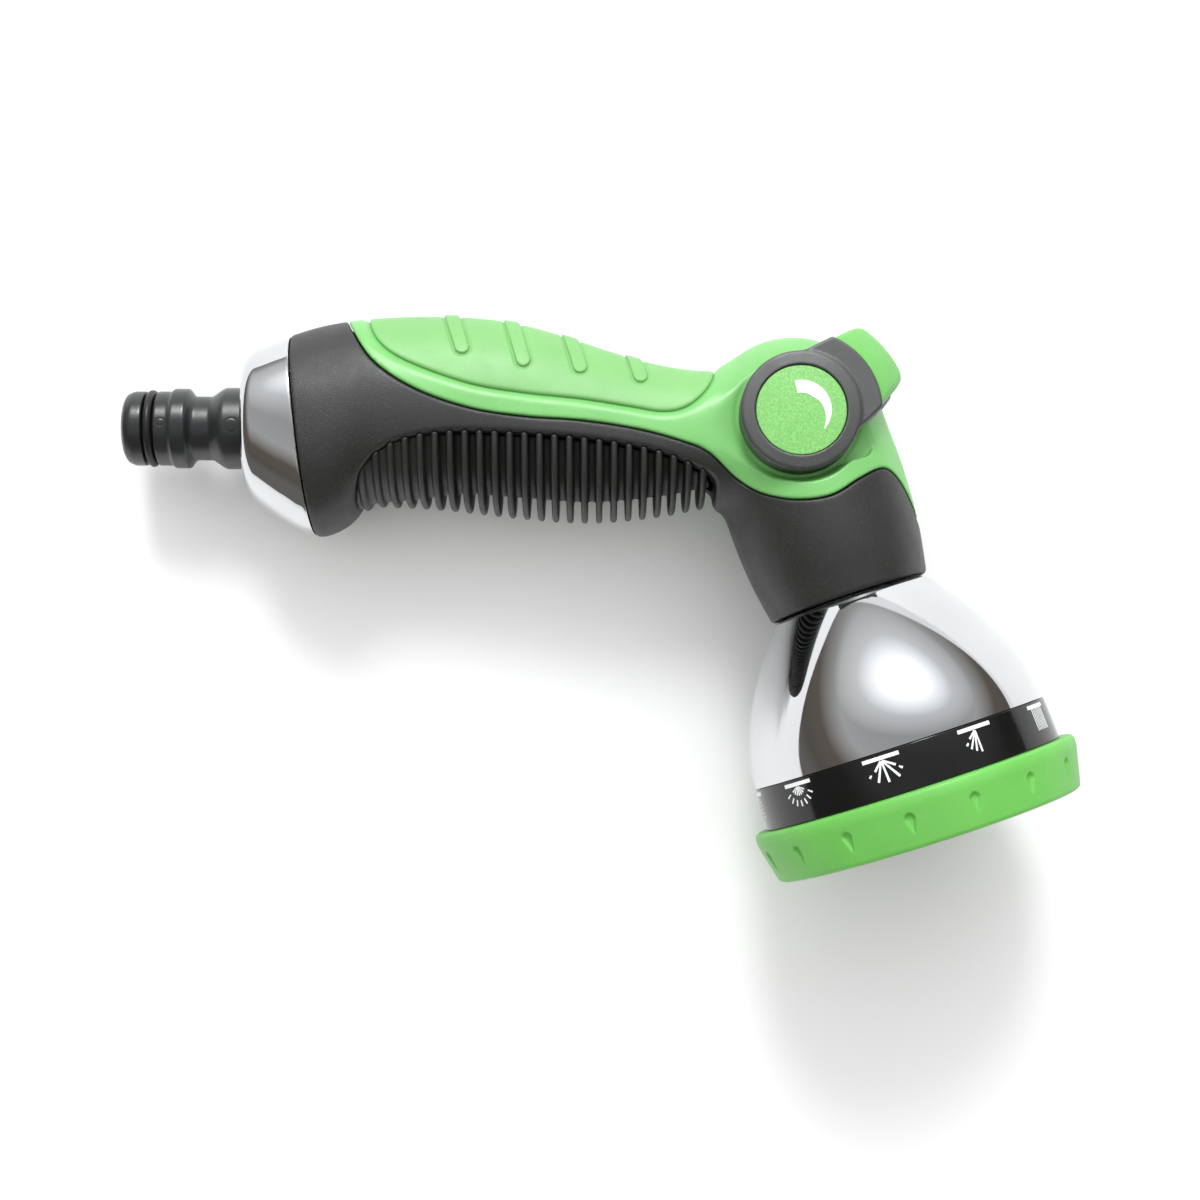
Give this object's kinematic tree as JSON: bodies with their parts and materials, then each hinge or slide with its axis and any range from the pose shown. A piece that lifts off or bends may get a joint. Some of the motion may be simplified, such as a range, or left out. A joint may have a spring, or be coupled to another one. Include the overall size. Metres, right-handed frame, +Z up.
{
  "type": "hose spray nozzle",
  "caption": "Hand-held garden hose nozzle with a grip, a side valve lever, and a turning multi-pattern spray head.",
  "frame": {"origin": "centre of the tail's open end, on the tail's axis", "axes": "+X along the handle from the tail to the head, +Y the back of the hand grip, +Z up as the nozzle lies on its side; z = 0 is the plane of symmetry"},
  "size_m": [0.2086, 0.1244, 0.0724],
  "materials": {
    "black_shell": "fine grained dark grey moulding",
    "green_cover": "satin bright green moulding",
    "green_soft": "soft matt green overmould",
    "grip_black": "matt black rubber",
    "chrome": "bright chrome plating",
    "tail_black": "satin black moulding",
    "dial_black": "polished black ring",
    "mark_white": "white print",
    "bumper_green": "matt green rubber",
    "lever_black": "satin black moulding",
    "cap_green": "green with a fine sparkle grain",
    "steel": "plain stainless steel",
    "brass": "turned brass",
    "rubber_black": "black rubber",
    "grey_plastic": "light grey moulding",
    "dark_plastic": "dark grey moulding",
    "seat_white": "white low friction plastic"
  },
  "bodies": {
    "nozzle_body": {"hose_tail": "tail_black", "tail_o_ring": "rubber_black", "inlet_washer": "rubber_black", "end_collar": "chrome", "handle_shell": "black_shell", "top_cover": "green_cover", "palm_pad": "green_soft", "finger_grip": "grip_black", "water_tube": "grey_plastic", "valve_body": "grey_plastic", "valve_bonnet": "brass", "seat_seals": "seat_white", "neck_o_ring": "rubber_black", "retaining_ring": "steel", "port_carrier": "grey_plastic", "port_seal": "rubber_black", "port_spring": "steel", "detent_ball": "steel", "detent_spring": "steel"},
    "lever": {"valve_rotor": "steel", "stem_o_rings": "rubber_black", "valve_lever": "lever_black", "thumb_pad": "green_soft", "lever_screws": "steel", "lever_caps": "cap_green", "flow_marks": "mark_white"},
    "dial": {"bell": "chrome", "selector_plate": "dark_plastic", "manifold": "dark_plastic", "dial_ring": "dial_black", "dial_icons": "mark_white", "bumper": "bumper_green", "face_plate": "dark_plastic", "centre_screw": "steel"}
  },
  "joints": [
    {"name": "valve_lever", "type": "hinge", "parent": "nozzle_body", "child": "lever", "pos_m": [0.1474, 0, 0], "axis": [0, 0, 1], "range_deg": [-5, 56]},
    {"name": "spray_dial", "type": "hinge", "parent": "nozzle_body", "child": "dial", "pos_m": [0.1474, 0, 0], "axis": [0.309, -0.9511, 0], "continuous": true}
  ]
}
